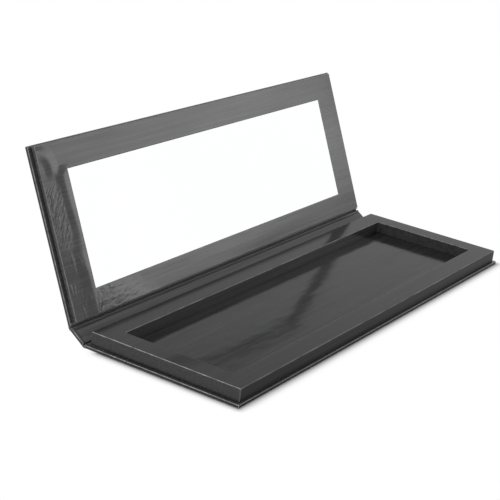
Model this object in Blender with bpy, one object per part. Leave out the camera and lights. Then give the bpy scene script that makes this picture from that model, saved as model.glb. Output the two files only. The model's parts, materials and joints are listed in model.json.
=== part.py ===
"""Empty makeup palette: a folding cardboard case with a raised tray, a spine strip and a mirrored lid.

Three stiff covers of greyboard wrapped in paper, the base, the spine and the lid, are joined by two
paper folds. The base carries a tray with a magnetic well and the lid carries a framed mirror.
The origin is the centre of the base cover's underside, +X runs along the folds, +Y goes to the back
and +Z is up. Sizes are written in millimetres and MM turns them into metres.
"""

from math import radians

import bmesh
import bpy
from mathutils import Matrix, Vector

MM = 0.001

# Sheet materials
PAPER = 0.1 * MM
GLUE_LINE = 0.05 * MM
COVER_BOARD = 1.2 * MM
TURN_IN = 10.0 * MM

# Well and the rails round it, which make the tray, measured outside its paper
WELL_LENGTH = 230.0 * MM
WELL_DEPTH = 56.0 * MM
WELL_CORNER_RADIUS = 1.0 * MM
END_RAIL = 10.0 * MM
LONG_RAIL = 10.0 * MM
TRAY_LENGTH = WELL_LENGTH + 2 * END_RAIL
TRAY_DEPTH = WELL_DEPTH + 2 * LONG_RAIL
TRAY_PLY = 2.9 * MM
MAGNETIC_SHEET = 0.5 * MM
SHEET_CLEARANCE = 0.25 * MM

# Covers round the tray
SIDE_FLANGE = 2.0 * MM
FRONT_FLANGE = 1.2 * MM
TRAY_SETBACK = 2.1 * MM
FOLD_CLEARANCE = 0.15 * MM
PAPER_END_GAP = 0.1 * MM

# Framed mirror in the lid, measured outside its paper
FRAME_BOARD = 1.55 * MM
FRAME_SIDE_MARGIN = 2.2 * MM
FRAME_TOP_MARGIN = 0.7 * MM
FRAME_SETBACK = 1.8 * MM
MIRROR_LENGTH = 215.0 * MM
MIRROR_DEPTH = 53.5 * MM
MIRROR_OFFSET = 0.8 * MM
MIRROR_GLASS = 1.2 * MM
MIRROR_TAPE = 0.5 * MM
MIRROR_CLEARANCE = 0.15 * MM
TAPE_INSET = 3.0 * MM

# Magnets in the tray's front rail and the steel plates that they pull in the lid
CLOSURE_SPACING = 160.0 * MM
MAGNET_DIAMETER = 6.0 * MM
MAGNET_THICKNESS = 2.5 * MM
PLATE_DIAMETER = 8.0 * MM
PLATE_THICKNESS = 0.5 * MM
POCKET_CLEARANCE = 0.15 * MM

# Lining strip over the folds, which stops short of the well and runs under the mirror frame
LINING_TO_WELL = 1.5 * MM
LINING_UNDER_FRAME = 9.0 * MM
LINING_END_MARGIN = 1.5 * MM

# How the palette stands open and closes
SPINE_RISE = radians(34.5)
LID_RISE = radians(66.9)
CLOSED_GAP = 0.25 * MM

# Round shapes and cutters
CORNER_STEPS = 4
DISC_SIDES = 32
OVERCUT = 5.0 * MM

# Heights worked out from the sheets, from the outer face of a cover inwards
COVER_THICKNESS = PAPER + GLUE_LINE + COVER_BOARD + GLUE_LINE + PAPER
BOARD_FACE = PAPER + GLUE_LINE + COVER_BOARD
LINING_BOTTOM = COVER_THICKNESS + GLUE_LINE
LINING_TOP = LINING_BOTTOM + PAPER
SEAT_HEIGHT = LINING_TOP + GLUE_LINE
SKIN = PAPER + GLUE_LINE
TRAY_TOP = SEAT_HEIGHT + 2 * TRAY_PLY + GLUE_LINE + SKIN
FRAME_TOP = SEAT_HEIGHT + FRAME_BOARD + SKIN

# Plan of the covers and the folds
COVER_LENGTH = TRAY_LENGTH + 2 * SIDE_FLANGE
COVER_DEPTH = FRONT_FLANGE + TRAY_DEPTH + TRAY_SETBACK
FOLD_DEPTH = COVER_THICKNESS / 2
FOLD_GAP = LINING_TOP - FOLD_DEPTH + FOLD_CLEARANCE
CLOSED_HEIGHT = TRAY_TOP + CLOSED_GAP + FRAME_TOP
FOLD_DISTANCE = CLOSED_HEIGHT - 2 * FOLD_DEPTH

# Places of the base, whose fold edge is at the back
BASE_FOLD = COVER_DEPTH / 2
BASE_FRONT = -COVER_DEPTH / 2
TRAY_FRONT = BASE_FRONT + FRONT_FLANGE
TRAY_BACK = BASE_FOLD - TRAY_SETBACK
WELL_CENTRE = (TRAY_FRONT + TRAY_BACK) / 2
WELL_FRONT = WELL_CENTRE - WELL_DEPTH / 2
WELL_BACK = WELL_CENTRE + WELL_DEPTH / 2
MAGNET_ROW = (TRAY_FRONT + WELL_FRONT) / 2

# Places in the lid, whose fold edge is at zero and whose free edge is at COVER_DEPTH
FRAME_LENGTH = COVER_LENGTH - 2 * FRAME_SIDE_MARGIN
FRAME_FREE_EDGE = COVER_DEPTH - FRAME_TOP_MARGIN
MIRROR_CENTRE = (FRAME_SETBACK + FRAME_FREE_EDGE) / 2 - MIRROR_OFFSET
WINDOW_FRONT = MIRROR_CENTRE - MIRROR_DEPTH / 2
WINDOW_BACK = MIRROR_CENTRE + MIRROR_DEPTH / 2
PLATE_ROW = BASE_FOLD - MAGNET_ROW


def clear_scene():
    """Remove whatever the file already holds."""
    for thing in list(bpy.data.objects):
        bpy.data.objects.remove(thing, do_unlink=True)


def material(name, colour, roughness, metallic=0.0):
    """Return a Principled material in one colour."""
    made = bpy.data.materials.new(name)
    made.use_nodes = True
    shader = made.node_tree.nodes["Principled BSDF"]
    shader.inputs["Base Color"].default_value = (*colour, 1.0)
    shader.inputs["Roughness"].default_value = roughness
    shader.inputs["Metallic"].default_value = metallic
    return made


def mesh_from(shape, name):
    """Turn a bmesh into a mesh and free it."""
    mesh = bpy.data.meshes.new(name)
    shape.to_mesh(mesh)
    shape.free()
    return mesh


def box(length, y_range, z_range, corner_radius=0.0):
    """Return the mesh of a block centred on X, with its upright corners rounded if asked."""
    front, back = sorted(y_range)
    bottom, top = sorted(z_range)
    middle = Vector((0.0, (front + back) / 2, (bottom + top) / 2))
    size = Matrix.Diagonal((length, back - front, top - bottom, 1.0))
    shape = bmesh.new()
    bmesh.ops.create_cube(shape, size=1.0, matrix=Matrix.Translation(middle) @ size)
    if corner_radius:
        upright = [edge for edge in shape.edges if is_upright(edge)]
        bmesh.ops.bevel(
            shape,
            geom=upright,
            offset=corner_radius,
            offset_type="OFFSET",
            segments=CORNER_STEPS,
            profile=0.5,
            affect="EDGES",
        )
    return mesh_from(shape, "block")


def is_upright(edge):
    """Say whether an edge of a block runs along Z."""
    first, second = (corner.co for corner in edge.verts)
    return abs(first.z - second.z) > abs(first.x - second.x) + abs(first.y - second.y)


def disc(diameter, x, y, z_range):
    """Return the mesh of an upright round disc."""
    bottom, top = sorted(z_range)
    middle = Vector((x, y, (bottom + top) / 2))
    shape = bmesh.new()
    bmesh.ops.create_cone(
        shape,
        cap_ends=True,
        segments=DISC_SIDES,
        radius1=diameter / 2,
        radius2=diameter / 2,
        depth=top - bottom,
        matrix=Matrix.Translation(middle),
    )
    return mesh_from(shape, "disc")


def carve(block, *cutters):
    """Cut meshes out of a mesh that lies in the same place, and return what is left."""
    body = bpy.data.objects.new("block", block)
    tools = [bpy.data.objects.new("cutter", cutter) for cutter in cutters]
    for thing in (body, *tools):
        bpy.context.collection.objects.link(thing)
    for tool in tools:
        cut = body.modifiers.new("cut", "BOOLEAN")
        cut.operation = "DIFFERENCE"
        cut.solver = "EXACT"
        cut.object = tool
    graph = bpy.context.evaluated_depsgraph_get()
    result = bpy.data.meshes.new_from_object(body.evaluated_get(graph))
    for thing in (body, *tools):
        bpy.data.objects.remove(thing, do_unlink=True)
    return result


def place(name, mesh, finish, parent=None):
    """Put a mesh in the scene as a named part, on the base or on a fold's empty."""
    mesh.name = name
    mesh.materials.clear()
    mesh.materials.append(finish)
    part = bpy.data.objects.new(name, mesh)
    bpy.context.collection.objects.link(part)
    if parent:
        part.parent = parent
        part.location = (0.0, 0.0, -FOLD_DEPTH)
    return part


def fold_empty(name, y, z, turn, parent=None):
    """Return an empty on a fold line, turned by the fold's angle at rest."""
    empty = bpy.data.objects.new(name, None)
    bpy.context.collection.objects.link(empty)
    empty.parent = parent
    empty.location = (0.0, y, z)
    empty.rotation_euler = (turn, 0.0, 0.0)
    return empty


def inward(fold, far):
    """Return 1 or -1, the way from a cover's fold line to its far end along Y."""
    return 1.0 if far > fold else -1.0


def cover_board(fold, far, far_is_edge=True):
    """Return the greyboard of a cover that runs from its fold line to a free edge or another fold."""
    way = inward(fold, far)
    end_gap = SKIN if far_is_edge else FOLD_GAP
    return box(
        COVER_LENGTH - 2 * SKIN,
        (fold + way * FOLD_GAP, far - way * end_gap),
        (SKIN, BOARD_FACE),
    )


def cover_wrap(fold, far, far_is_edge=True, kept_clear=None):
    """Return the paper round a cover: its outer sheet, its edges and the flaps turned in over them.

    The flaps are trimmed where they would reach a place kept clear, given as its length and Y range.
    """
    way = inward(fold, far)
    sheet = box(
        COVER_LENGTH,
        (fold + way * PAPER_END_GAP, far if far_is_edge else far - way * PAPER_END_GAP),
        (0.0, COVER_THICKNESS),
    )
    past_fold = fold - way * OVERCUT
    past_far = far + way * OVERCUT
    room_for_board = box(
        COVER_LENGTH - 2 * PAPER,
        (past_fold, far - way * PAPER if far_is_edge else past_far),
        (PAPER, COVER_THICKNESS - PAPER),
    )
    between_flaps = box(
        COVER_LENGTH - 2 * TURN_IN,
        (past_fold, far - way * TURN_IN if far_is_edge else past_far),
        (COVER_THICKNESS / 2, COVER_THICKNESS + OVERCUT),
    )
    above_fold = box(
        COVER_LENGTH + 2 * OVERCUT,
        (past_fold, fold + way * FOLD_GAP),
        (PAPER, COVER_THICKNESS + OVERCUT),
    )
    cutters = [room_for_board, between_flaps, above_fold]
    if not far_is_edge:
        cutters.append(
            box(
                COVER_LENGTH + 2 * OVERCUT,
                (far - way * FOLD_GAP, past_far),
                (PAPER, COVER_THICKNESS + OVERCUT),
            )
        )
    if kept_clear:
        length, y_range = kept_clear
        cutters.append(box(length, y_range, (COVER_THICKNESS / 2, COVER_THICKNESS + OVERCUT)))
    return carve(sheet, *cutters)


def lining(fold, far):
    """Return one stretch of the lining strip, from beside the fold line towards the far end."""
    way = inward(fold, far)
    return box(
        COVER_LENGTH - 2 * LINING_END_MARGIN,
        (fold + way * FOLD_GAP, far),
        (LINING_BOTTOM, LINING_TOP),
    )


def frame_ply(length, y_range, z_range, hole_length, hole_range, hole_radius=0.0):
    """Return a board frame: a block inside its paper with a hole that leaves room for the paper."""
    front, back = sorted(y_range)
    hole_front, hole_back = sorted(hole_range)
    bottom, top = z_range
    board = box(length - 2 * SKIN, (front + SKIN, back - SKIN), z_range)
    hole = box(
        hole_length + 2 * SKIN,
        (hole_front - SKIN, hole_back + SKIN),
        (bottom - OVERCUT, top + OVERCUT),
        hole_radius + SKIN if hole_radius else 0.0,
    )
    return carve(board, hole)


def frame_wrap(length, y_range, z_range, hole_length, hole_range, hole_radius=0.0):
    """Return the paper over a frame: its face, its outer edges and the edges of its hole."""
    front, back = sorted(y_range)
    hole_front, hole_back = sorted(hole_range)
    bottom, top = z_range
    below = bottom - OVERCUT
    sheet = box(length, y_range, z_range)
    hole = box(hole_length, hole_range, (below, top + OVERCUT), hole_radius)
    hole_lining = box(
        hole_length + 2 * PAPER,
        (hole_front - PAPER, hole_back + PAPER),
        (below - OVERCUT, top + OVERCUT),
        hole_radius + PAPER if hole_radius else 0.0,
    )
    inside = box(length - 2 * PAPER, (front + PAPER, back - PAPER), (below, top - PAPER))
    return carve(sheet, carve(inside, hole_lining), hole)


def build_base(greyboard, paper, lining_paper):
    """Make the base cover, its wrap and the lining strip's stretch under the tray."""
    place("base_cover_board", cover_board(BASE_FOLD, BASE_FRONT), greyboard)
    well = (WELL_LENGTH, (WELL_FRONT, WELL_BACK))
    place("base_cover_wrap", cover_wrap(BASE_FOLD, BASE_FRONT, kept_clear=well), paper)
    place("base_lining_strip", lining(BASE_FOLD, WELL_BACK + LINING_TO_WELL), lining_paper)


def build_tray(greyboard, paper):
    """Make the tray's two board plies and the paper over them."""
    tray = (TRAY_FRONT, TRAY_BACK)
    well = (WELL_FRONT, WELL_BACK)
    ply_split = SEAT_HEIGHT + TRAY_PLY
    upper_bottom = ply_split + GLUE_LINE
    upper_top = upper_bottom + TRAY_PLY
    lower = frame_ply(
        TRAY_LENGTH, tray, (SEAT_HEIGHT, ply_split), WELL_LENGTH, well, WELL_CORNER_RADIUS
    )
    upper = frame_ply(
        TRAY_LENGTH, tray, (upper_bottom, upper_top), WELL_LENGTH, well, WELL_CORNER_RADIUS
    )
    pocket_floor = upper_top - MAGNET_THICKNESS - 2 * GLUE_LINE
    pockets = [
        disc(MAGNET_DIAMETER + 2 * POCKET_CLEARANCE, x, MAGNET_ROW, (pocket_floor, upper_top + OVERCUT))
        for x in (-CLOSURE_SPACING / 2, CLOSURE_SPACING / 2)
    ]
    place("tray_lower_ply", lower, greyboard)
    place("tray_upper_ply", carve(upper, *pockets), greyboard)
    wrap = frame_wrap(
        TRAY_LENGTH, tray, (SEAT_HEIGHT, TRAY_TOP), WELL_LENGTH, well, WELL_CORNER_RADIUS
    )
    place("tray_wrap", wrap, paper)


def build_well(rubber_magnet, floor_paper):
    """Make the magnetic sheet in the well and the glossy paper on it."""
    length = WELL_LENGTH - 2 * SHEET_CLEARANCE
    sheet_range = (WELL_FRONT + SHEET_CLEARANCE, WELL_BACK - SHEET_CLEARANCE)
    sheet_bottom = BOARD_FACE + GLUE_LINE
    sheet_top = sheet_bottom + MAGNETIC_SHEET
    floor_bottom = sheet_top + GLUE_LINE
    sheet = box(length, sheet_range, (sheet_bottom, sheet_top), WELL_CORNER_RADIUS)
    floor = box(length, sheet_range, (floor_bottom, floor_bottom + PAPER), WELL_CORNER_RADIUS)
    place("magnetic_sheet", sheet, rubber_magnet)
    place("well_floor_paper", floor, floor_paper)


def build_magnets(nickel):
    """Make the two disc magnets in the tray's front rail."""
    top = TRAY_TOP - SKIN - GLUE_LINE
    for side, x in (("left", -CLOSURE_SPACING / 2), ("right", CLOSURE_SPACING / 2)):
        magnet = disc(MAGNET_DIAMETER, x, MAGNET_ROW, (top - MAGNET_THICKNESS, top))
        place(f"closure_magnet_{side}", magnet, nickel)


def build_spine(fold, greyboard, paper, lining_paper):
    """Make the spine strip, which stands behind the tray when the palette is closed."""
    place("spine_board", cover_board(0.0, FOLD_DISTANCE, far_is_edge=False), greyboard, fold)
    place("spine_wrap", cover_wrap(0.0, FOLD_DISTANCE, far_is_edge=False), paper, fold)
    place("spine_lining_strip", lining(0.0, FOLD_DISTANCE - FOLD_GAP), lining_paper, fold)


def build_lid(fold, greyboard, paper, lining_paper):
    """Make the lid cover, its wrap and the lining strip's stretch under the mirror frame."""
    window = (MIRROR_LENGTH, (WINDOW_FRONT, WINDOW_BACK))
    place("lid_cover_board", cover_board(0.0, COVER_DEPTH), greyboard, fold)
    place("lid_cover_wrap", cover_wrap(0.0, COVER_DEPTH, kept_clear=window), paper, fold)
    place("lid_lining_strip", lining(0.0, FRAME_SETBACK + LINING_UNDER_FRAME), lining_paper, fold)


def build_mirror_frame(fold, greyboard, paper, steel):
    """Make the frame round the mirror, its paper and the steel plates in its free border."""
    frame = (FRAME_SETBACK, FRAME_FREE_EDGE)
    window = (WINDOW_FRONT, WINDOW_BACK)
    board = frame_ply(
        FRAME_LENGTH, frame, (SEAT_HEIGHT, SEAT_HEIGHT + FRAME_BOARD), MIRROR_LENGTH, window
    )
    plate_bottom = SEAT_HEIGHT + GLUE_LINE
    plate_top = plate_bottom + PLATE_THICKNESS
    pocket_range = (SEAT_HEIGHT - OVERCUT, plate_top + GLUE_LINE)
    pocket_diameter = PLATE_DIAMETER + 2 * POCKET_CLEARANCE
    sides = (("left", -CLOSURE_SPACING / 2), ("right", CLOSURE_SPACING / 2))
    pockets = [disc(pocket_diameter, x, PLATE_ROW, pocket_range) for _, x in sides]
    place("mirror_frame_board", carve(board, *pockets), greyboard, fold)
    for side, x in sides:
        plate = disc(PLATE_DIAMETER, x, PLATE_ROW, (plate_bottom, plate_top))
        place(f"closure_plate_{side}", plate, steel, fold)
    wrap = frame_wrap(FRAME_LENGTH, frame, (SEAT_HEIGHT, FRAME_TOP), MIRROR_LENGTH, window)
    place("mirror_frame_wrap", wrap, paper, fold)


def build_mirror(fold, silvered_glass, foam_tape):
    """Make the mirror and the sheet of tape that holds it to the lid's board."""
    half_depth = MIRROR_DEPTH / 2 - MIRROR_CLEARANCE
    tape_half_depth = half_depth - TAPE_INSET
    tape_bottom = BOARD_FACE + GLUE_LINE
    tape_top = tape_bottom + MIRROR_TAPE
    glass_bottom = tape_top + GLUE_LINE
    glass_length = MIRROR_LENGTH - 2 * MIRROR_CLEARANCE
    tape = box(
        glass_length - 2 * TAPE_INSET,
        (MIRROR_CENTRE - tape_half_depth, MIRROR_CENTRE + tape_half_depth),
        (tape_bottom, tape_top),
    )
    glass = box(
        glass_length,
        (MIRROR_CENTRE - half_depth, MIRROR_CENTRE + half_depth),
        (glass_bottom, glass_bottom + MIRROR_GLASS),
    )
    place("mirror_tape", tape, foam_tape, fold)
    place("mirror_glass", glass, silvered_glass, fold)


def main():
    """Build the whole palette, standing open as it rests."""
    clear_scene()
    greyboard = material("greyboard", (0.36, 0.34, 0.31), 0.9)
    paper = material("gloss_black_paper", (0.016, 0.016, 0.018), 0.18)
    lining_paper = material("black_lining_paper", (0.018, 0.018, 0.02), 0.22)
    floor_paper = material("gloss_black_floor", (0.012, 0.012, 0.013), 0.12)
    rubber_magnet = material("rubber_magnet", (0.03, 0.028, 0.027), 0.7)
    nickel = material("nickel_plate", (0.62, 0.61, 0.58), 0.3, 1.0)
    steel = material("tinned_steel", (0.55, 0.55, 0.55), 0.35, 1.0)
    silvered_glass = material("silvered_glass", (0.93, 0.94, 0.94), 0.02, 1.0)
    foam_tape = material("foam_tape", (0.8, 0.8, 0.78), 0.8)

    lower_fold = fold_empty("lower_fold", BASE_FOLD, FOLD_DEPTH, SPINE_RISE)
    upper_fold = fold_empty("upper_fold", FOLD_DISTANCE, 0.0, LID_RISE - SPINE_RISE, lower_fold)

    build_base(greyboard, paper, lining_paper)
    build_tray(greyboard, paper)
    build_well(rubber_magnet, floor_paper)
    build_magnets(nickel)
    build_spine(lower_fold, greyboard, paper, lining_paper)
    build_lid(upper_fold, greyboard, paper, lining_paper)
    build_mirror_frame(upper_fold, greyboard, paper, steel)
    build_mirror(upper_fold, silvered_glass, foam_tape)


main()
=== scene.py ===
"""Empty makeup palette: the papers, mirror, boards and stage of a book-style case that stands open.

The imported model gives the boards, magnets, mirror and folds. This script wraps them in rounded glossy
paper, bends paper over the two folds, gives every piece its finish and sets a plain white stage.
Sizes are written in millimetres and MM turns them into metres.
"""

import json
from math import atan2, copysign, cos, pi, radians, sin, tan
from typing import NamedTuple

import bmesh
import bpy
from mathutils import Matrix, Vector


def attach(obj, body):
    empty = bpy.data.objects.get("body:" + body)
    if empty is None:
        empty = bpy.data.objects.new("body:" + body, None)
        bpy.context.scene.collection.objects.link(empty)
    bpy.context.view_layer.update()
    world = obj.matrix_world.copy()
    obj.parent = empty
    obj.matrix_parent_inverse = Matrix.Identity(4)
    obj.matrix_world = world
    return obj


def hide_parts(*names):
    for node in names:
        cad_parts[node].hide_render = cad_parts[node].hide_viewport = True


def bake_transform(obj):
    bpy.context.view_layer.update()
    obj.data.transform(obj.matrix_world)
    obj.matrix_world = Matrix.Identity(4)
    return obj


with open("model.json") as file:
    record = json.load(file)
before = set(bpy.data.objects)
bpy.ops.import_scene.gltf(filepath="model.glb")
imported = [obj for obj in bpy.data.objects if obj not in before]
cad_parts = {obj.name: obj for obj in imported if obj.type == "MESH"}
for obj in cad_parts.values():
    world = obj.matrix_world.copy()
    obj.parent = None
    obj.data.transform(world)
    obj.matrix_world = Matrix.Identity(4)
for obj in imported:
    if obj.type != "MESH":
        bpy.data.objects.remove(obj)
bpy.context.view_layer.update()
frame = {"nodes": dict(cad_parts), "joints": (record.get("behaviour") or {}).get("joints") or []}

bl_info = {
    "name": "Empty makeup palette",
    "version": (1, 0, 0),
    "blender": (4, 5, 0),
    "location": "View3D > Sidebar > Palette",
    "description": "Dresses a folding makeup palette in glossy paper and sets its stage",
    "category": "Object",
}

MM = 0.001

# The folds and how far each cover stands up at rest
JOINTS = {joint["name"]: joint for joint in frame["joints"]}
LOWER_AXIS = Vector(JOINTS["spine_fold"]["pos_m"])
UPPER_AXIS = Vector(JOINTS["lid_fold"]["pos_m"])
SPINE_RISE = atan2(UPPER_AXIS.z - LOWER_AXIS.z, UPPER_AXIS.y - LOWER_AXIS.y)
LID_TURN = -radians(JOINTS["lid_fold"]["range_deg"][0])
LID_RISE = SPINE_RISE + LID_TURN
FOLD_DEPTH = LOWER_AXIS.z

# Sheets and small gaps that the solids have
PAPER = 0.1 * MM
FOLD_GAP = 1.05 * MM
FLOOR_CLEARANCE = 0.05 * MM
MIRROR_CLEARANCE = 0.15 * MM

# What counts as no distance, and the angles that keep an edge sharp and make it part of a rim
TINY = 0.001 * MM
SHARP_ANGLE = radians(42)
RIM_ANGLE = radians(45)

# Where the groove and the ridge in a fold's lining lie, as shares of the fold's half width
GROOVE_PLACE, GROOVE_WIDTH = 0.35, 0.65
RIDGE_PLACE, RIDGE_WIDTH = -0.65, 0.35
SPINE_GROOVE = 8.05 * MM

# How much of the pale edge colour some places get, from 0 for none to 1 for all: painted highlight on the
# fold's ridge and the frames' upright corners, painted light together with wear on a hole's right wall, and
# some paleness at the folds' ends
FOLD_RIDGE_PAINTED_HIGHLIGHT = 0.2
FOLD_END_PALE_SHARE = 0.4
FRAME_CORNER_PAINTED_HIGHLIGHT = 0.2
RIGHT_WALL_WEAR_AND_PAINTED_LIGHT = 0.1

# Slants of the small folds in the mirror frame's left border and of the line where its sag ends
GATHER_SLANT = radians(47)
SAG_SLANT = 1.35

# Colour and roughness of the metals and of the dull sheets
METALS = {
    "nickel_plate": ((0.62, 0.61, 0.58), 0.28),
    "tinned_steel": ((0.55, 0.55, 0.55), 0.35),
}
DULL_SHEETS = {
    "rubber_magnet": ((0.03, 0.028, 0.027), 0.7),
    "foam_tape": ((0.8, 0.8, 0.78), 0.8),
}

# Floor: its radius, how far its painted grey shadow and the shadow it catches reach round the base, and how
# far short of the base's back edge they end
FLOOR_RADIUS = 20.0
PAINTED_SHADOW_REACH = 4 * MM
SHADOW_REACH = 6 * MM
SHADOW_SETBACK = 8 * MM

# Softboxes: where each stands, what it faces, its width and its height in metres
SOFTBOXES = {
    "key": ((0.713, -0.489, 0.26), (0.0, 0.06, 0.045), 0.4, 0.32),
    "top": ((-0.1, 0.1, 1.1), (0.0, 0.0, 0.0), 0.9, 0.9),
    "edge": ((-0.6, 0.6, 0.85), (0.0, 0.0, 0.0), 0.25, 0.25),
}

# Width of the camera's sensor in millimetres
SENSOR_WIDTH = 36.0


def cover_place(axis_point, rise):
    """Return the matrix from a cover's own frame, fold at y 0 and outer face at z 0, to the world."""
    turn = Matrix.Rotation(rise, 4, "X")
    return Matrix.Translation(axis_point) @ turn @ Matrix.Translation((0.0, 0.0, -FOLD_DEPTH))


BASE_PLACE = cover_place(LOWER_AXIS, 0.0)
SPINE_PLACE = cover_place(LOWER_AXIS, SPINE_RISE)
LID_PLACE = cover_place(UPPER_AXIS, LID_RISE)


def extent(node, place):
    """Return a solid's lowest and highest corners, measured in the frame that place turns to the world."""
    back = place.inverted()
    corners = [back @ corner.co for corner in frame["nodes"][node].data.vertices]
    low = Vector([min(corner[axis] for corner in corners) for axis in range(3)])
    high = Vector([max(corner[axis] for corner in corners) for axis in range(3)])
    return low, high


class PaletteShapes(bpy.types.PropertyGroup):
    """Sizes of the paper skins that a user may change."""

    cover_edge: bpy.props.FloatProperty(
        name="Cover edge radius",
        description="How far the paper rounds over the edges of a cover",
        default=0.3 * MM,
        unit="LENGTH",
    )
    cover_corner: bpy.props.FloatProperty(
        name="Cover corner radius",
        description="Radius of a cover's free corners, seen from above",
        default=0.3 * MM,
        unit="LENGTH",
    )
    turn_in: bpy.props.FloatProperty(
        name="Turned-in flap",
        description="Width of the paper folded in over a cover's board",
        default=10.0 * MM,
        unit="LENGTH",
    )
    tray_edge: bpy.props.FloatProperty(
        name="Tray edge radius",
        description="How far the paper rounds over the top edges of the tray",
        default=0.3 * MM,
        unit="LENGTH",
    )
    tray_corner: bpy.props.FloatProperty(
        name="Tray corner radius",
        description="Radius of the tray's upright outer corners",
        default=0.4 * MM,
        unit="LENGTH",
    )
    well_corner: bpy.props.FloatProperty(
        name="Well corner radius",
        description="Radius of the well's upright corners",
        default=1.0 * MM,
        unit="LENGTH",
    )
    frame_edge: bpy.props.FloatProperty(
        name="Mirror frame edge radius",
        description="How far the paper rounds over the edges of the mirror frame",
        default=0.3 * MM,
        unit="LENGTH",
    )
    window_corner: bpy.props.FloatProperty(
        name="Mirror window corner radius",
        description="Radius of the corners of the window round the mirror",
        default=0.15 * MM,
        unit="LENGTH",
    )
    groove_depth: bpy.props.FloatProperty(
        name="Groove depth",
        description="How far the lining dips beside the ridge along a fold",
        default=1.0 * MM,
        unit="LENGTH",
    )


class PaletteFinishes(bpy.types.PropertyGroup):
    """Colours and gloss that a user may change."""

    paper_colour: bpy.props.FloatVectorProperty(
        name="Paper colour",
        description="Colour of the glossy black paper",
        default=(0.016, 0.016, 0.017),
        subtype="COLOR",
        min=0.0,
        max=1.0,
    )
    lining_colour: bpy.props.FloatVectorProperty(
        name="Lining colour",
        description="Colour of the paper strip over the folds",
        default=(0.062, 0.062, 0.063),
        subtype="COLOR",
        min=0.0,
        max=1.0,
    )
    # A paler copy of the black paper for upright faces and flanges: painted light, not a paper of its own
    side_colour_painted_light: bpy.props.FloatVectorProperty(
        name="Side colour",
        description="Colour of the paper where it is stretched over the sides",
        default=(0.034, 0.034, 0.035),
        subtype="COLOR",
        min=0.0,
        max=1.0,
    )
    # Pale colour of edges: partly rubbed wear, mostly painted highlight on rounded edges and corners
    edge_highlight_and_wear_colour: bpy.props.FloatVectorProperty(
        name="Edge colour",
        description="Colour of the paper where folding has rubbed its edges",
        default=(0.3, 0.3, 0.303),
        subtype="COLOR",
        min=0.0,
        max=1.0,
    )
    board_colour: bpy.props.FloatVectorProperty(
        name="Board colour",
        description="Colour of the greyboard inside the covers",
        default=(0.36, 0.34, 0.31),
        subtype="COLOR",
        min=0.0,
        max=1.0,
    )


class PaletteStage(bpy.types.PropertyGroup):
    """Camera and light that a user may change."""

    camera_aim: bpy.props.FloatVectorProperty(
        name="Camera aim",
        description="Point that the camera looks at",
        default=(-66.3 * MM, 0.0, 41.8 * MM),
        subtype="TRANSLATION",
        unit="LENGTH",
    )
    camera_distance: bpy.props.FloatProperty(
        name="Camera distance",
        description="Distance from the camera to its aim",
        default=641.8 * MM,
        unit="LENGTH",
    )
    camera_azimuth: bpy.props.FloatProperty(
        name="Camera azimuth",
        description="How far the camera stands round to the palette's left",
        default=radians(59.5),
        subtype="ANGLE",
    )
    camera_elevation: bpy.props.FloatProperty(
        name="Camera elevation",
        description="How far the camera looks down",
        default=radians(19.38),
        subtype="ANGLE",
    )
    camera_roll: bpy.props.FloatProperty(
        name="Camera roll",
        description="How far the camera is turned about its line of sight",
        default=radians(7.18),
        subtype="ANGLE",
    )
    focal_length: bpy.props.FloatProperty(
        name="Focal length",
        description="Focal length of the lens in millimetres",
        default=106.0,
    )
    fill_light: bpy.props.FloatProperty(
        name="Fill light",
        description="Brightness of the surroundings, as they light dull surfaces",
        default=0.8,
    )
    key_brightness: bpy.props.FloatProperty(
        name="Key light",
        description="Brightness of the softbox that the lid's paper mirrors, where 1 is white",
        default=1.87,
    )
    top_brightness: bpy.props.FloatProperty(
        name="Top light",
        description="Brightness of the softbox overhead, where 1 is white",
        default=1.0,
    )
    edge_brightness: bpy.props.FloatProperty(
        name="Edge light",
        description="Brightness of the small softbox that the left edges mirror, where 1 is white",
        default=10.0,
    )


# Small helpers for shapes

def top_rim(shape, height):
    """Return the sharp edges where a face at a height meets a wall."""
    rim = []
    for edge in shape.edges:
        level = all(abs(corner.co.z - height) < TINY for corner in edge.verts)
        if level and len(edge.link_faces) == 2 and edge.calc_face_angle() > RIM_ANGLE:
            rim.append(edge)
    return rim


def round_edges(shape, edges, radius, highlight_and_wear_level=0.35, left=1.0, right=0.35, steps=3):
    """Round a set of edges and mark how much pale edge colour the new faces get, set apart for those that
    face left or right: partly wear, mostly painted highlight.
    """
    rubbed = shape.faces.layers.float.get("rubbed") or shape.faces.layers.float.new("rubbed")
    made = bmesh.ops.bevel(
        shape,
        geom=edges,
        affect="EDGES",
        offset=radius,
        offset_type="OFFSET",
        segments=steps,
        profile=0.5,
        material=-1,
    )
    for face in made["faces"]:
        face.normal_update()
        face[rubbed] = highlight_and_wear_level
        # Faces that face left or right take their own level; the full level on left-facing edges is a
        # painted highlight
        if abs(face.normal.x) > 0.3:
            face[rubbed] = left if face.normal.x < 0 else right


def rounded_outline(shape, low, high, height, radius, steps=4):
    """Add a level rectangle with rounded corners as a closed loop of edges, and return the edges."""
    before = set(shape.edges)
    middle = Vector(((low.x + high.x) / 2, (low.y + high.y) / 2, height))
    size = Matrix.Diagonal((high.x - low.x, high.y - low.y, 1.0, 1.0))
    sheet = bmesh.ops.create_grid(
        shape, x_segments=1, y_segments=1, size=0.5, matrix=Matrix.Translation(middle) @ size
    )
    bmesh.ops.bevel(
        shape,
        geom=sheet["verts"],
        affect="VERTICES",
        offset=radius,
        offset_type="OFFSET",
        segments=steps,
        profile=0.5,
        material=-1,
    )
    new_faces = [face for face in shape.faces if not before.intersection(face.edges)]
    bmesh.ops.delete(shape, geom=new_faces, context="FACES_ONLY")
    return [edge for edge in shape.edges if edge not in before]


def drop_walls(shape, edges, depth):
    """Hang a wall from each edge."""
    made = bmesh.ops.extrude_edge_only(shape, edges=edges)
    lower = [item for item in made["geom"] if isinstance(item, bmesh.types.BMVert)]
    bmesh.ops.translate(shape, verts=lower, vec=(0.0, 0.0, -depth))


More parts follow.
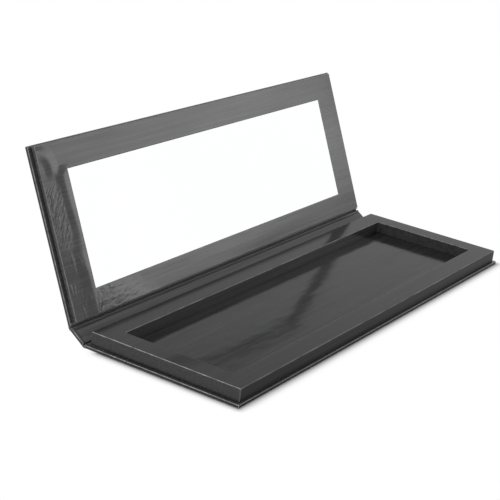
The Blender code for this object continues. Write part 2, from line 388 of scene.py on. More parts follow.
def thicken(shape, thickness):
    """Turn an open sheet into paper of a thickness, kept on its inner side."""
    bmesh.ops.recalc_face_normals(shape, faces=shape.faces[:])
    bmesh.ops.solidify(shape, geom=shape.faces[:], thickness=thickness)


def mark_sides(shape, low, high):
    """Give a piece's second finish to its upright faces, and its third to its outer front and back."""
    for face in shape.faces:
        across = face.calc_center_median().y
        inside = min(across - low.y, high.y - across) > TINY
        if abs(face.normal.z) < 0.5:
            face.material_index = 1 if inside else 2


def finished_piece(name, shape, place, finishes):
    """Make a shape into a named object whose place is in its mesh, with flat faces and smooth edges."""
    bmesh.ops.transform(shape, matrix=place, verts=shape.verts[:])
    mesh = bpy.data.meshes.new(name)
    shape.to_mesh(mesh)
    shape.free()
    mesh.shade_smooth()
    mesh.set_sharp_from_angle(angle=SHARP_ANGLE)
    for look in finishes:
        mesh.materials.append(look)
    piece = bpy.data.objects.new(name, mesh)
    bpy.context.scene.collection.objects.link(piece)
    flatten = piece.modifiers.new("flat_faces", "WEIGHTED_NORMAL")
    flatten.mode = "FACE_AREA"
    flatten.weight = 100
    flatten.keep_sharp = True
    return piece


def cover_skin(low, high, free_ends, shapes):
    """Return the paper round a cover's board.

    free_ends says for the low and the high end along Y whether it is a free edge, wrapped in paper,
    or a fold, where the skin stays open and stops at the board. The inner face, which shows as the
    flange, gets the same paler side paper as the sides, which paints light onto both.
    """
    shape = bmesh.new()
    size = Matrix.Diagonal((*(high - low), 1.0))
    bmesh.ops.create_cube(shape, size=1.0, matrix=Matrix.Translation((low + high) / 2) @ size)
    ends = (low.y, high.y)
    folds = [y for y, free in zip(ends, free_ends) if not free]
    at_fold = [face for face in shape.faces if lies_at(face, folds)]
    bmesh.ops.delete(shape, geom=at_fold, context="FACES")
    mark_sides(shape, low, high)
    for face in shape.faces:
        if face.normal.z > 0.5:
            face.material_index = 1
    upright = [edge for edge in shape.edges if is_upright(edge) and len(edge.link_faces) == 2]
    if upright:
        round_edges(shape, upright, shapes.cover_corner)
    for height in (low.z, high.z):
        round_edges(shape, top_rim(shape, height), shapes.cover_edge)
    open_between_flaps(shape, low, high, free_ends, shapes.turn_in)
    thicken(shape, PAPER)
    return shape


def lies_at(face, levels):
    """Say whether a face lies at one of the given places along Y."""
    return any(all(abs(corner.co.y - level) < TINY for corner in face.verts) for level in levels)


def is_upright(edge):
    """Say whether an edge runs along Z."""
    first, second = (corner.co for corner in edge.verts)
    return abs(first.z - second.z) > abs(first.x - second.x) + abs(first.y - second.y)


def open_between_flaps(shape, low, high, free_ends, turn_in):
    """Cut away the inner paper between a cover's turned-in flaps."""
    left, right = low.x + turn_in, high.x - turn_in
    front = low.y + turn_in if free_ends[0] else low.y
    back = high.y - turn_in if free_ends[1] else high.y
    cuts = [((left, 0, 0), (1, 0, 0)), ((right, 0, 0), (1, 0, 0))]
    cuts += [((0, y, 0), (0, 1, 0)) for y in (front, back)]
    for point, direction in cuts:
        everything = shape.verts[:] + shape.edges[:] + shape.faces[:]
        bmesh.ops.bisect_plane(
            shape, geom=everything, dist=TINY, plane_co=point, plane_no=direction
        )
    inner = []
    for face in shape.faces:
        middle = face.calc_center_median()
        level = abs(middle.z - high.z) < TINY
        if level and left < middle.x < right and front < middle.y < back:
            inner.append(face)
    bmesh.ops.delete(shape, geom=inner, context="FACES")


def in_hole(edge, low, high):
    """Say whether an edge belongs to the rim of a hole."""
    middle = (edge.verts[0].co + edge.verts[1].co) / 2
    return low.x - TINY < middle.x < high.x + TINY and low.y - TINY < middle.y < high.y + TINY


def paint_corner_highlights_and_wall_light(shape, hole_low, hole_high):
    """Give the narrow faces at a frame's outer corners pale edge colour as a painted highlight, and the
    right wall of its hole a little of it, as wear and painted light.
    """
    rubbed = shape.faces.layers.float.new("rubbed")
    for face in shape.faces:
        slanted = min(abs(face.normal.x), abs(face.normal.y)) > 0.15
        outside = not any(in_hole(edge, hole_low, hole_high) for edge in face.edges)
        if slanted and outside:
            face[rubbed] = FRAME_CORNER_PAINTED_HIGHLIGHT
        if face.normal.x < -0.7 and not outside:
            face[rubbed] = RIGHT_WALL_WEAR_AND_PAINTED_LIGHT


def frame_skin(low, high, hole_low, hole_high, corner, hole_corner, edge, highlight_and_wear_level, left_highlight_and_wear_level):
    """Return the paper over a frame: its face, its outer walls and the walls of its hole."""
    shape = bmesh.new()
    outer = rounded_outline(shape, low, high, high.z, corner)
    inner = rounded_outline(shape, hole_low, hole_high, high.z, hole_corner)
    bmesh.ops.bridge_loops(shape, edges=outer + inner)
    drop_walls(shape, outer + inner, high.z - low.z)
    bmesh.ops.recalc_face_normals(shape, faces=shape.faces[:])
    mark_sides(shape, low, high)
    paint_corner_highlights_and_wall_light(shape, hole_low, hole_high)
    rim = top_rim(shape, high.z)
    hole_rim = [side for side in rim if in_hole(side, hole_low, hole_high)]
    # The hole's rims get pale edge colour, fully where they face left or right: painted highlight
    round_edges(shape, hole_rim, edge, highlight_and_wear_level=0.5, left=1.0, right=1.0)
    outer_rim = [side for side in rim if side.is_valid]
    round_edges(shape, outer_rim, edge, highlight_and_wear_level, left_highlight_and_wear_level, highlight_and_wear_level)
    thicken(shape, PAPER)
    return shape


def valley(across, centre, half_width):
    """Return a smooth valley's depth, 1 at its centre and 0 beyond its half width."""
    away = min(abs(across - centre) / half_width, 1.0)
    return (1 + cos(pi * away)) / 2


def bent_point(along, across, height, turn):
    """Return a point of a sheet that turns a sharp corner, the mitre of its two level halves."""
    mitre = height * tan(turn / 2)
    if abs(across) < TINY:
        return Matrix.Rotation(turn / 2, 3, "X") @ Vector((along, 0.0, height / cos(turn / 2)))
    away = mitre + (FOLD_GAP - mitre) * abs(across)
    bend = Matrix.Rotation(turn if across > 0 else 0.0, 3, "X")
    return bend @ Vector((along, copysign(away, across), height))


def fold_paper(length, turn, lining_height, groove_depth, steps=32):
    """Return the paper that bends over a fold, with its axis along X through the origin.

    An outer sheet and a lining with a ridge beside a groove are bent, then closed round the rim.
    """
    shape = bmesh.new()
    rubbed = shape.faces.layers.float.new("rubbed")
    rims = []
    for outside in (True, False):
        size = Matrix.Diagonal((length, 2.0, 1.0, 1.0))
        sheet = bmesh.ops.create_grid(shape, x_segments=1, y_segments=steps, size=0.5, matrix=size)
        for corner in sheet["verts"]:
            along, across, _ = corner.co
            groove = valley(across, GROOVE_PLACE, GROOVE_WIDTH)
            ridge = valley(across, RIDGE_PLACE, RIDGE_WIDTH)
            height = -FOLD_DEPTH if outside else lining_height + groove_depth * (ridge / 4 - groove)
            corner.co = bent_point(along, across, height, turn)
            if not outside:
                # The ridge gets a little pale edge colour: a painted highlight
                on_ridge = abs(across - RIDGE_PLACE) < RIDGE_WIDTH / 2
                for face in corner.link_faces:
                    face[rubbed] = FOLD_RIDGE_PAINTED_HIGHLIGHT if on_ridge else 0.0
        rims += [edge for edge in shape.edges if edge.is_boundary and edge not in rims]
    bmesh.ops.bridge_loops(shape, edges=rims)
    bmesh.ops.recalc_face_normals(shape, faces=shape.faces[:])
    # The strip's ends get some of the pale edge colour
    for face in shape.faces:
        if abs(face.normal.x) > 0.7:
            face[rubbed] = FOLD_END_PALE_SHARE
    return shape


# Small helpers for finishes

def new_finish(name):
    """Return a new material with its node tree and its Principled shader."""
    made = bpy.data.materials.new(name)
    made.use_nodes = True
    tree = made.node_tree
    return made, tree, tree.nodes["Principled BSDF"]


def add_node(tree, kind, **settings):
    """Add a node and set its properties."""
    node = tree.nodes.new(kind)
    for key, value in settings.items():
        setattr(node, key, value)
    return node


def body_coordinates(tree, place, marks=(1.0, 1.0, 1.0)):
    """Return the socket of the piece's coordinates in its body's frame, in units of a mark's size."""
    source = add_node(tree, "ShaderNodeTexCoord")
    mapping = add_node(tree, "ShaderNodeMapping", vector_type="TEXTURE")
    mapping.inputs["Location"].default_value = place.to_translation()
    mapping.inputs["Rotation"].default_value = place.to_euler()
    mapping.inputs["Scale"].default_value = marks
    tree.links.new(source.outputs["Object"], mapping.inputs["Vector"])
    return mapping.outputs["Vector"]


def noise(tree, place, marks, detail=3.0):
    """Return the socket of a noise pattern whose marks have a size along each axis of a body."""
    texture = add_node(tree, "ShaderNodeTexNoise")
    texture.inputs["Scale"].default_value = 1.0
    texture.inputs["Detail"].default_value = detail
    tree.links.new(body_coordinates(tree, place, marks), texture.inputs["Vector"])
    return texture.outputs["Fac"]


def spread(tree, value, low, high, from_low=0.3, from_high=0.7, smooth=False):
    """Return a socket that carries a value from one range over to another."""
    node = add_node(tree, "ShaderNodeMapRange", clamp=True)
    if smooth:
        node.interpolation_type = "SMOOTHSTEP"
    node.inputs["From Min"].default_value = from_low
    node.inputs["From Max"].default_value = from_high
    node.inputs["To Min"].default_value = low
    node.inputs["To Max"].default_value = high
    tree.links.new(value, node.inputs["Value"])
    return node.outputs["Result"]


def combine(tree, operation, first, second):
    """Return the socket of a sum, product or other operation on two sockets or numbers."""
    node = add_node(tree, "ShaderNodeMath", operation=operation)
    for socket, value in zip(node.inputs, (first, second)):
        if isinstance(value, float):
            socket.default_value = value
        else:
            tree.links.new(value, socket)
    return node.outputs["Value"]


def blend_colours(tree, share, first, second):
    """Return the socket of a mix of two colours, each a socket or a plain colour."""
    node = add_node(tree, "ShaderNodeMix", data_type="RGBA")
    tree.links.new(share, node.inputs["Factor"])
    for socket, value in ((node.inputs["A"], first), (node.inputs["B"], second)):
        if isinstance(value, bpy.types.NodeSocket):
            tree.links.new(value, socket)
        else:
            socket.default_value = (*value, 1.0)
    return node.outputs["Result"]


def raise_surface(tree, shader, height):
    """Give a shader relief from a height socket in millimetres."""
    bump = add_node(tree, "ShaderNodeBump")
    bump.inputs["Strength"].default_value = 1.0
    bump.inputs["Distance"].default_value = MM
    tree.links.new(height, bump.inputs["Height"])
    tree.links.new(bump.outputs["Normal"], shader.inputs["Normal"])


def tinted(colour, factor):
    """Return a colour made lighter or darker by a factor."""
    return tuple(channel * factor for channel in colour)


class Paper(NamedTuple):
    """How one of the papers looks, and the body that its grain follows."""

    place: Matrix
    colour: tuple
    gloss: float
    index: float
    streaks: float = 0.25
    relief: object = None


def glossy_paper(name, paper, highlight_and_wear_colour):
    """Return laminated black paper: streaks along its grain, a fine skin, and pale edges that are partly
    wear and mostly painted highlight.
    """
    made, tree, shader = new_finish(name)
    grain = noise(tree, paper.place, (60 * MM, 1.2 * MM, 1.2 * MM), detail=2.0)
    cloud = noise(tree, paper.place, (50 * MM, 20 * MM, 20 * MM), detail=2.0)
    edge_patches = noise(tree, paper.place, (9 * MM, 3 * MM, 3 * MM), detail=2.0)
    shade = spread(tree, grain, 0.0, 1.0)
    darker, lighter = tinted(paper.colour, 1 - paper.streaks), tinted(paper.colour, 1 + paper.streaks)
    plain = blend_colours(tree, shade, darker, lighter)
    # Pale edge colour mixed in by the attribute: partly wear, mostly painted highlight, broken into patches
    rubbed = add_node(tree, "ShaderNodeAttribute", attribute_name="rubbed").outputs["Fac"]
    rubbed = combine(tree, "MULTIPLY", rubbed, spread(tree, edge_patches, 0.3, 1.0))
    tree.links.new(blend_colours(tree, rubbed, plain, highlight_and_wear_colour), shader.inputs["Base Color"])
    roughness = spread(tree, cloud, paper.gloss * 0.85, paper.gloss * 1.2)
    tree.links.new(roughness, shader.inputs["Roughness"])
    shader.inputs["IOR"].default_value = paper.index
    skin = noise(tree, paper.place, (0.6 * MM, 0.4 * MM, 0.4 * MM), detail=1.0)
    height = combine(tree, "MULTIPLY", skin, 0.0006)
    height = combine(tree, "ADD", height, combine(tree, "MULTIPLY", grain, 0.003))
    if paper.relief:
        height = combine(tree, "ADD", height, paper.relief(tree))
    raise_surface(tree, shader, height)
    return made


def greyboard(colour):
    """Return greyboard: speckled with paler and darker fibres."""
    made, tree, shader = new_finish("greyboard")
    fibres = noise(tree, Matrix.Identity(4), (2 * MM, 0.7 * MM, 0.7 * MM), detail=6.0)
    shade = spread(tree, fibres, 0.0, 1.0)
    mixed = blend_colours(tree, shade, tinted(colour, 0.75), tinted(colour, 1.2))
    tree.links.new(mixed, shader.inputs["Base Color"])
    shader.inputs["Roughness"].default_value = 0.9
    raise_surface(tree, shader, combine(tree, "MULTIPLY", fibres, 0.03))
    return made


def metal(name, colour, roughness):
    """Return plain plated metal with fine marks."""
    made, tree, shader = new_finish(name)
    marks = noise(tree, Matrix.Identity(4), (2.5 * MM, 0.3 * MM, 2.5 * MM))
    mixed = blend_colours(tree, marks, tinted(colour, 0.92), tinted(colour, 1.05))
    tree.links.new(mixed, shader.inputs["Base Color"])
    tree.links.new(spread(tree, marks, roughness * 0.8, roughness * 1.3), shader.inputs["Roughness"])
    shader.inputs["Metallic"].default_value = 1.0
    return made


def dull_sheet(name, colour, roughness):
    """Return a dull rubber or foam with fine pores."""
    made, tree, shader = new_finish(name)
    pores = noise(tree, Matrix.Identity(4), (0.4 * MM, 0.4 * MM, 0.4 * MM))
    mixed = blend_colours(tree, pores, tinted(colour, 0.85), tinted(colour, 1.15))
    tree.links.new(mixed, shader.inputs["Base Color"])
    shader.inputs["Roughness"].default_value = roughness
    raise_surface(tree, shader, combine(tree, "MULTIPLY", pores, 0.02))
    return made


def silvered_glass():
    """Return the mirror: bright silver with the faintest cloud in it."""
    made, tree, shader = new_finish("silvered_glass")
    cloud = noise(tree, LID_PLACE, (80 * MM, 80 * MM, 80 * MM), detail=1.0)
    mixed = blend_colours(tree, cloud, (0.98, 0.99, 0.99), (1.0, 1.0, 1.0))
    tree.links.new(mixed, shader.inputs["Base Color"])
    shader.inputs["Metallic"].default_value = 1.0
    shader.inputs["Roughness"].default_value = 0.01
    return made


def ripple_relief(tree):
    """Return the height of the gentle ripples in the paper on the well's floor."""
    ripples = noise(tree, Matrix.Identity(4), (14 * MM, 6 * MM, 6 * MM), detail=1.0)
    return combine(tree, "MULTIPLY", ripples, 0.08)


def smooth_step(tree, value, start, end):
    """Return a socket that goes smoothly from 0 to 1 while a value goes from a start to an end."""
    return spread(tree, value, 0.0, 1.0, start, end, smooth=True)


def product(tree, *factors):
    """Return the socket of a product of sockets and numbers."""
    result = factors[0]
    for factor in factors[1:]:
        result = combine(tree, "MULTIPLY", result, factor)
    return result


def total(tree, *parts):
    """Return the socket of a sum of sockets and numbers."""
    result = parts[0]
    for part in parts[1:]:
        result = combine(tree, "ADD", result, part)
    return result


def body_axes(tree, place):
    """Return the sockets of a piece's X, Y and Z in its body's frame."""
    apart = add_node(tree, "ShaderNodeSeparateXYZ")
    tree.links.new(body_coordinates(tree, place), apart.inputs["Vector"])
    return apart.outputs


def border_curl(tree, across, up, low, high):
    """Return the height to which the paper curls up across the left border and flattens beyond it."""
    curled = spread(tree, across, 0.0, 0.65, low.x, low.x + 19 * MM)
    flattened = spread(tree, across, 1.0, 0.0, low.x + 19 * MM, low.x + 45 * MM)
    below_top = smooth_step(tree, up, high.y - 4 * MM, high.y - 20 * MM)
    return product(tree, curled, flattened, below_top)


def long_crease(tree, swayed, up, low, high):
    """Return the height of the long crease that runs beside the mirror."""
    rise = smooth_step(tree, swayed, low.x + 7.6 * MM, low.x + 14.6 * MM)
    fall = smooth_step(tree, swayed, low.x + 19.5 * MM, low.x + 14.6 * MM)
    below_top = smooth_step(tree, up, high.y - 10 * MM, high.y - 15 * MM)
    return product(tree, rise, below_top, fall, 0.5)


def corner_ridge(tree, across, up, low, high):
    """Return the height of the ridge that curves from the left border to the upper left corner."""
    right_of_edge = combine(tree, "SUBTRACT", across, low.x)
    above_bend = combine(tree, "MAXIMUM", combine(tree, "SUBTRACT", up, high.y - 10.5 * MM), 0.0)
    squares = [product(tree, side, side) for side in (right_of_edge, above_bend)]
    from_bend = combine(tree, "SQRT", combine(tree, "ADD", *squares), 0.0)
    rise = smooth_step(tree, from_bend, 2.2 * MM, 7.6 * MM)
    fall = smooth_step(tree, from_bend, 12.4 * MM, 7.6 * MM)
    above_foot = smooth_step(tree, up, high.y - 17 * MM, high.y - 10 * MM)
    return product(tree, rise, fall, above_foot, 0.4)


def border_gathers(tree, swayed, up, low, high):
    """Return the height of the small slanting folds in the left border, left of the long crease."""
    beside = smooth_step(tree, swayed, low.x + 11 * MM, low.x + 8 * MM)
    below = smooth_step(tree, up, high.y - 15 * MM, high.y - 24 * MM)
    above = smooth_step(tree, up, low.y + 28 * MM, low.y + 38 * MM)
    slanted = LID_PLACE @ Matrix.Rotation(GATHER_SLANT, 4, "Z")
    gathers = noise(tree, slanted, (5 * MM, 1.3 * MM, 1.3 * MM), detail=1.0)
    return product(tree, gathers, beside, below, above, 0.36)


def corner_sag(tree, across, up, low):
    """Return the heights of the sag round the lower left corner and of the mottles and wrinkles there.

    They end along a wavering, slanting line, whose reach is measured from the corner.
    """
    edge = noise(tree, LID_PLACE, (12 * MM, 12 * MM, 12 * MM), detail=1.0)
    reach = combine(tree, "ADD", across, product(tree, up, SAG_SLANT))
    reach = combine(tree, "ADD", reach, spread(tree, edge, -4 * MM, 4 * MM))
    foot = low.x + low.y * SAG_SLANT
    corner = smooth_step(tree, reach, foot + 62 * MM, foot + 34 * MM)
    sagged = product(tree, spread(tree, across, 0.0, 0.9, low.x, low.x + 24 * MM), corner)
    round_corner = smooth_step(tree, reach, foot + 66 * MM, foot + 50 * MM)
    mottles = noise(tree, LID_PLACE, (4 * MM, 1.8 * MM, 1.8 * MM), detail=1.0)
    right_of_border = smooth_step(tree, across, low.x + 14 * MM, low.x + 20 * MM)
    mottled = product(tree, mottles, round_corner, right_of_border, 0.18)
    wrinkles = noise(tree, LID_PLACE, (3.5 * MM, 8 * MM, 8 * MM), detail=1.0)
    wrinkled = product(tree, smooth_step(tree, wrinkles, 0.56, 0.8), corner, 0.12)
    return sagged, mottled, wrinkled


def corner_bow(tree, across, up, low, high):
    """Return the height to which the paper bows down to the lower right corner."""
    to_right = smooth_step(tree, across, -40 * MM, high.x)
    half_way = (low.y + high.y) / 2
    from_foot = spread(tree, up, 1.0, 0.0, low.y, half_way + 20 * MM)
    return product(tree, from_foot, from_foot, to_right, -1.1)


def crease_relief(tree):
    """Return the height of the creases in the frame's paper, most of which are in its left border."""
    low, high = extent("mirror_frame_wrap", LID_PLACE)
    across, up, _ = body_axes(tree, LID_PLACE)
    sway = noise(tree, LID_PLACE, (26 * MM, 26 * MM, 26 * MM), detail=1.0)
    swayed = combine(tree, "ADD", across, spread(tree, sway, -0.7 * MM, 0.7 * MM))
    slack = noise(tree, LID_PLACE, (60 * MM, 9 * MM, 9 * MM), detail=1.0)
    return total(
        tree,
        border_curl(tree, across, up, low, high),
        long_crease(tree, swayed, up, low, high),
        corner_ridge(tree, across, up, low, high),
        border_gathers(tree, swayed, up, low, high),
        *corner_sag(tree, across, up, low),
        product(tree, slack, 0.15),
        corner_bow(tree, across, up, low, high),
    )


def spine_relief(tree):
    """Return the height of the fine groove that folding has pressed along the top of the spine's lining."""
    up = body_axes(tree, SPINE_PLACE)["Y"]
    away = combine(tree, "ABSOLUTE", combine(tree, "SUBTRACT", up, SPINE_GROOVE), 0.0)
    return spread(tree, away, -0.45, 0.0, 0.0, 0.5 * MM, smooth=True)


# Pieces

def papers_by_name(finishes):
    """Return how each paper looks."""
    paper, side = tuple(finishes.paper_colour), tuple(finishes.side_colour_painted_light)
    lining = tuple(finishes.lining_colour)
    flat = Matrix.Identity(4)
    return {
        "base_paper": Paper(flat, paper, gloss=0.16, index=1.2),
        "spine_paper": Paper(SPINE_PLACE, paper, gloss=0.16, index=1.2),
        "lid_paper": Paper(LID_PLACE, paper, gloss=0.16, index=1.2),
        "tray_paper": Paper(flat, paper, gloss=0.12, index=1.18),
        "frame_paper": Paper(
            LID_PLACE, tinted(paper, 1.9), gloss=0.2, index=1.45, streaks=0.4, relief=crease_relief
        ),
        # The frame's walls are a still paler copy of the side paper: painted light
        "frame_side_paper": Paper(LID_PLACE, tinted(side, 2.6), gloss=0.2, index=1.45),
        "front_paper": Paper(flat, paper, gloss=0.12, index=1.11),
        # Upright faces and flanges get a paler copy of the black paper: painted light
        "side_paper": Paper(flat, side, gloss=0.16, index=1.34),
        "floor_paper": Paper(flat, paper, gloss=0.12, index=1.18, streaks=0.4, relief=ripple_relief),
        "lining_paper": Paper(SPINE_PLACE, lining, gloss=0.18, index=1.25, relief=spine_relief),
    }


def finish(name):
    """Return a finish by name, made on its first use."""
    known = bpy.data.materials.get(name + "_finish")
    if known:
        return known
    finishes = bpy.context.scene.palette_finishes
    papers = papers_by_name(finishes)
    if name in papers:
        made = glossy_paper(name, papers[name], tuple(finishes.edge_highlight_and_wear_colour))
    elif name in METALS:
        made = metal(name, *METALS[name])
    elif name in DULL_SHEETS:
        made = dull_sheet(name, *DULL_SHEETS[name])
    elif name == "greyboard":
        made = greyboard(tuple(finishes.board_colour))
    else:
        made = silvered_glass()
    made.name = name + "_finish"
    return made


class PALETTE_OT_covers(bpy.types.Operator):
    """Wrap the base cover, the spine and the lid cover in glossy paper"""

    bl_idname = "palette.covers"
    bl_label = "Wrap the covers"

    def execute(self, context):
        """Make one skin for each cover."""
        shapes = context.scene.palette_shapes
        covers = (
            ("base_cover", "tray_base", BASE_PLACE, (True, False), "base_paper"),
            ("spine", "spine", SPINE_PLACE, (False, False), "spine_paper"),
            ("lid_cover", "lid", LID_PLACE, (False, True), "lid_paper"),
        )
        for cover, body, place, free_ends, paper in covers:
            low, high = extent(cover + "_wrap", place)
            board_low, board_high = extent(cover + "_board", place)
            if not free_ends[0]:
                low.y = board_low.y
            if not free_ends[1]:
                high.y = board_high.y
            shape = cover_skin(low, high, free_ends, shapes)
            # The sides and the flange get the paler side paper: painted light
            papers = finish(paper), finish("side_paper"), finish(paper)
            skin = finished_piece(cover + "_skin", shape, place, papers)
            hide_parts(cover + "_wrap")
            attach(skin, body)
        return {"FINISHED"}


class PALETTE_OT_folds(bpy.types.Operator):
    """Bend the paper over the two folds"""

    bl_idname = "palette.folds"
    bl_label = "Bend paper over the folds"

    def execute(self, context):
        """Make one bent strip for each fold."""
        shapes = context.scene.palette_shapes
        cover_low, cover_high = extent("base_cover_wrap", BASE_PLACE)
        length = cover_high.x - cover_low.x - 2 * PAPER
        lining_height = extent("base_lining_strip", BASE_PLACE)[1].z - FOLD_DEPTH
        folds = (
            ("lower_fold_paper", "tray_base", "spine", LOWER_AXIS, 0.0, SPINE_RISE),
            ("upper_fold_paper", "spine", "lid", UPPER_AXIS, SPINE_RISE, LID_TURN),
        )
        for name, first, second, axis_point, lean, turn in folds:
            place = Matrix.Translation(axis_point) @ Matrix.Rotation(lean, 4, "X")
            shape = fold_paper(length, turn, lining_height, shapes.groove_depth)
            strip = finished_piece(name, shape, place, (finish("lining_paper"),))
            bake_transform(strip)
        return {"FINISHED"}


class PALETTE_OT_tray(bpy.types.Operator):
    """Wrap the tray round its well"""

    bl_idname = "palette.tray"
    bl_label = "Wrap the tray"

    def execute(self, context):
        """Make the tray's skin."""
        shapes = context.scene.palette_shapes
        low, high = extent("tray_wrap", Matrix.Identity(4))
        hole_low, hole_high = extent("well_floor_paper", Matrix.Identity(4))
        gap = Vector((FLOOR_CLEARANCE, FLOOR_CLEARANCE, 0.0))
        # The rims get pale edge colour, fully on the left: painted highlight, partly wear
        shape = frame_skin(
            low,
            high,
            hole_low - gap,
            hole_high + gap,
            shapes.tray_corner,
            shapes.well_corner,
            shapes.tray_edge,
            highlight_and_wear_level=0.45,
            left_highlight_and_wear_level=1.0,
        )
        # The walls get the paler side paper: painted light
        papers = finish("tray_paper"), finish("side_paper"), finish("front_paper")
        skin = finished_piece("tray_skin", shape, Matrix.Identity(4), papers)
        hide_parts("tray_wrap")
        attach(skin, "tray_base")
        return {"FINISHED"}


class PALETTE_OT_mirror_frame(bpy.types.Operator):
    """Wrap the frame round the mirror"""

    bl_idname = "palette.mirror_frame"
    bl_label = "Wrap the mirror frame"

    def execute(self, context):
        """Make the frame's skin."""
        shapes = context.scene.palette_shapes
        low, high = extent("mirror_frame_wrap", LID_PLACE)
        glass_low, glass_high = extent("mirror_glass", LID_PLACE)
        gap = Vector((MIRROR_CLEARANCE, MIRROR_CLEARANCE, 0.0))
        # The rims get pale edge colour, half on the left: painted highlight, partly wear
        shape = frame_skin(
            low,
            high,
            glass_low - gap,
            glass_high + gap,
            shapes.frame_edge,
            shapes.window_corner,
            shapes.frame_edge,
            highlight_and_wear_level=0.35,
            left_highlight_and_wear_level=0.5,
        )
        # The frame's walls get a paler side paper: painted light
        papers = finish("frame_paper"), finish("frame_side_paper"), finish("frame_paper")
        skin = finished_piece("mirror_frame_skin", shape, LID_PLACE, papers)
        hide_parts("mirror_frame_wrap")
        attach(skin, "lid")
        return {"FINISHED"}


class PALETTE_OT_solids(bpy.types.Operator):
    """Give the boards, linings, magnets, plates, floor and mirror their finishes"""

    bl_idname = "palette.solids"
    bl_label = "Finish the solids"

    def execute(self, context):
        """Put one finish on each solid that is kept."""
        kept = {
            "greyboard": (
                "base_cover_board",
                "spine_board",
                "lid_cover_board",
                "tray_lower_ply",
                "tray_upper_ply",
                "mirror_frame_board",
            ),
            "lining_paper": ("base_lining_strip", "spine_lining_strip", "lid_lining_strip"),
            "floor_paper": ("well_floor_paper",),
            "rubber_magnet": ("magnetic_sheet",),
            "nickel_plate": ("closure_magnet_left", "closure_magnet_right"),
            "tinned_steel": ("closure_plate_left", "closure_plate_right"),
            "foam_tape": ("mirror_tape",),
            "silvered_glass": ("mirror_glass",),
        }
        for name, nodes in kept.items():
            for node in nodes:
                frame["nodes"][node].data.materials.clear()
                frame["nodes"][node].data.materials.append(finish(name))
        return {"FINISHED"}


# Stage

def white_surroundings(fill):
    """Light the world plainly, and show white to the camera and in gloss and glass."""
    world = bpy.data.worlds.new("white_surroundings")
    bpy.context.scene.world = world
    world.use_nodes = True
    tree = world.node_tree
    shown = tree.nodes["Background"]
    shown.inputs["Color"].default_value = (1.0, 1.0, 1.0, 1.0)
    shown.inputs["Strength"].default_value = 1.0
    filling = add_node(tree, "ShaderNodeBackground")
    filling.inputs["Color"].default_value = (1.0, 1.0, 1.0, 1.0)
    filling.inputs["Strength"].default_value = fill
    path = add_node(tree, "ShaderNodeLightPath")
    either = combine(tree, "MAXIMUM", path.outputs["Is Camera Ray"], path.outputs["Is Glossy Ray"])
    any_of = combine(tree, "MAXIMUM", either, path.outputs["Is Transmission Ray"])
    mix = add_node(tree, "ShaderNodeMixShader")
    tree.links.new(any_of, mix.inputs["Fac"])
    tree.links.new(filling.outputs["Background"], mix.inputs[1])
    tree.links.new(shown.outputs["Background"], mix.inputs[2])
    tree.links.new(mix.outputs["Shader"], tree.nodes["World Output"].inputs["Surface"])


def floor_finish(low, high):
    """Return near-white paper with a painted grey shadow close round a footprint, where it also catches the
    real shadow, and plain white further out.
    """
    made, tree, shader = new_finish("white_floor")
    middle = (low + high) / 2
    half = (high - low) / 2
    source = add_node(tree, "ShaderNodeTexCoord")
    centred = add_node(tree, "ShaderNodeMapping")
    centred.inputs["Location"].default_value = (-middle.x, -middle.y, 0.0)
    tree.links.new(source.outputs["Object"], centred.inputs["Vector"])
    reach = centred.outputs["Vector"]
    operations = (
        ("ABSOLUTE", None),
        ("SUBTRACT", (half.x, half.y, 0.0)),
        ("MAXIMUM", (0.0, 0.0, 0.0)),
    )
    for operation, value in operations:
        node = add_node(tree, "ShaderNodeVectorMath", operation=operation)
        tree.links.new(reach, node.inputs[0])
        if value:
            node.inputs[1].default_value = value
        reach = node.outputs["Vector"]
    length = add_node(tree, "ShaderNodeVectorMath", operation="LENGTH")
    tree.links.new(reach, length.inputs[0])
    away = length.outputs["Value"]
    # Painted shadow: the floor's colour greys towards the footprint
    near = spread(tree, away, 0.0, 1.0, 0.0, PAINTED_SHADOW_REACH)
    painted_shadow_colour = blend_colours(tree, near, (0.3, 0.3, 0.3), (0.95, 0.95, 0.95))
    tree.links.new(painted_shadow_colour, shader.inputs["Base Color"])
    shader.inputs["Roughness"].default_value = 0.9
    shader.inputs["Specular IOR Level"].default_value = 0.0
    white = add_node(tree, "ShaderNodeEmission")
    mix = add_node(tree, "ShaderNodeMixShader")
    share = spread(tree, away, 0.0, 1.0, 0.0, SHADOW_REACH)
    tree.links.new(share, mix.inputs["Fac"])
    tree.links.new(shader.outputs["BSDF"], mix.inputs[1])
    tree.links.new(white.outputs["Emission"], mix.inputs[2])
    tree.links.new(mix.outputs["Shader"], tree.nodes["Material Output"].inputs["Surface"])
    return made


def facing(spot, aim):
    """Return the rotation of a lamp or camera at a spot that looks at an aim."""
    return (aim - spot).to_track_quat("-Z", "Y")


def softbox(name, spot, aim, width, height, brightness):
    """Add a rectangular lamp whose face has a brightness, where 1 is white."""
    lamp = bpy.data.lights.new(name, "AREA")
    lamp.shape = "RECTANGLE"
    lamp.size = width
    lamp.size_y = height
    lamp.energy = brightness * pi * width * height
    thing = bpy.data.objects.new(name, lamp)
    thing.location = spot
    thing.rotation_mode = "QUATERNION"
    thing.rotation_quaternion = facing(Vector(spot), Vector(aim))
    bpy.context.scene.collection.objects.link(thing)
    return thing


def hide_from(lamp, thing):
    """Keep one object from showing or catching a lamp's light."""
    apart = bpy.data.collections.new(lamp.name + "_hidden_from")
    apart.objects.link(thing)
    apart.collection_objects[0].light_linking.link_state = "EXCLUDE"
    lamp.light_linking.receiver_collection = apart


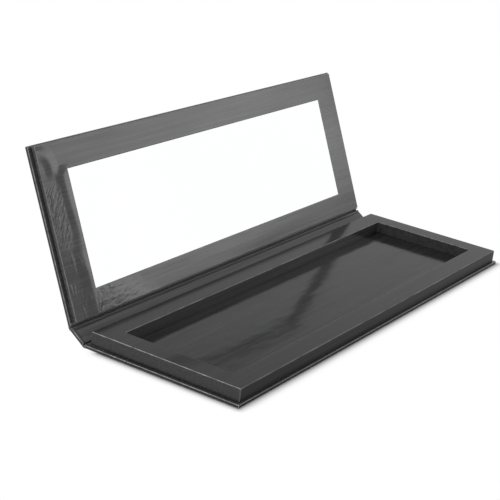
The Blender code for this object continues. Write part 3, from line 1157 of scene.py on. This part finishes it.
class PALETTE_OT_stage(bpy.types.Operator):
    """Set the floor, the light and the camera"""

    bl_idname = "palette.stage"
    bl_label = "Set the stage"

    def execute(self, context):
        """Make the stage."""
        stage = context.scene.palette_stage
        white_surroundings(stage.fill_light)
        shape = bmesh.new()
        bmesh.ops.create_circle(shape, cap_ends=True, segments=64, radius=FLOOR_RADIUS)
        mesh = bpy.data.meshes.new("floor")
        shape.to_mesh(mesh)
        shape.free()
        low, high = extent("base_cover_wrap", Matrix.Identity(4))
        high.y -= SHADOW_SETBACK
        mesh.materials.append(floor_finish(low, high))
        floor = bpy.data.objects.new("floor", mesh)
        context.scene.collection.objects.link(floor)
        lamps = {}
        for name, values in SOFTBOXES.items():
            brightness = getattr(stage, name + "_brightness")
            lamps[name] = softbox(name + "_softbox", *values, brightness)
        hide_from(lamps["key"], frame["nodes"]["mirror_glass"])
        self.place_camera(context.scene, stage)
        context.scene.view_settings.view_transform = "Standard"
        return {"FINISHED"}

    def place_camera(self, scene, stage):
        """Put the camera where the palette was photographed from."""
        lens = bpy.data.cameras.new("camera")
        lens.lens = stage.focal_length
        lens.sensor_width = SENSOR_WIDTH
        camera = bpy.data.objects.new("camera", lens)
        level = Vector((-sin(stage.camera_azimuth), -cos(stage.camera_azimuth), 0.0))
        back = level * cos(stage.camera_elevation) + Vector((0.0, 0.0, sin(stage.camera_elevation)))
        aim = Vector(stage.camera_aim)
        camera.location = aim + back * stage.camera_distance
        camera.rotation_mode = "QUATERNION"
        roll = Matrix.Rotation(stage.camera_roll, 3, "Z").to_quaternion()
        camera.rotation_quaternion = facing(camera.location, aim) @ roll
        scene.collection.objects.link(camera)
        scene.camera = camera


STEPS = (
    PALETTE_OT_covers,
    PALETTE_OT_folds,
    PALETTE_OT_tray,
    PALETTE_OT_mirror_frame,
    PALETTE_OT_solids,
    PALETTE_OT_stage,
)


class PALETTE_PT_panel(bpy.types.Panel):
    """Lists the steps that dress the palette"""

    bl_idname = "PALETTE_PT_panel"
    bl_label = "Makeup palette"
    bl_space_type = "VIEW_3D"
    bl_region_type = "UI"
    bl_category = "Palette"

    def draw(self, context):
        """Draw one button for each step and the values under them."""
        for step in STEPS:
            self.layout.operator(step.bl_idname)
        for group in ("palette_shapes", "palette_finishes", "palette_stage"):
            values = getattr(context.scene, group)
            box = self.layout.box()
            for key in values.__annotations__:
                box.prop(values, key)


CLASSES = (PaletteShapes, PaletteFinishes, PaletteStage, *STEPS, PALETTE_PT_panel)


def register():
    """Register the classes and give the scene its values."""
    for kind in CLASSES:
        bpy.utils.register_class(kind)
    bpy.types.Scene.palette_shapes = bpy.props.PointerProperty(type=PaletteShapes)
    bpy.types.Scene.palette_finishes = bpy.props.PointerProperty(type=PaletteFinishes)
    bpy.types.Scene.palette_stage = bpy.props.PointerProperty(type=PaletteStage)


def unregister():
    """Take the scene's values and the classes away again."""
    del bpy.types.Scene.palette_stage
    del bpy.types.Scene.palette_finishes
    del bpy.types.Scene.palette_shapes
    for kind in reversed(CLASSES):
        bpy.utils.unregister_class(kind)


def main():
    """Dress the palette step by step."""
    register()
    bpy.ops.palette.covers()
    bpy.ops.palette.folds()
    bpy.ops.palette.tray()
    bpy.ops.palette.mirror_frame()
    bpy.ops.palette.solids()
    bpy.ops.palette.stage()


if __name__ == "__main__":
    main()
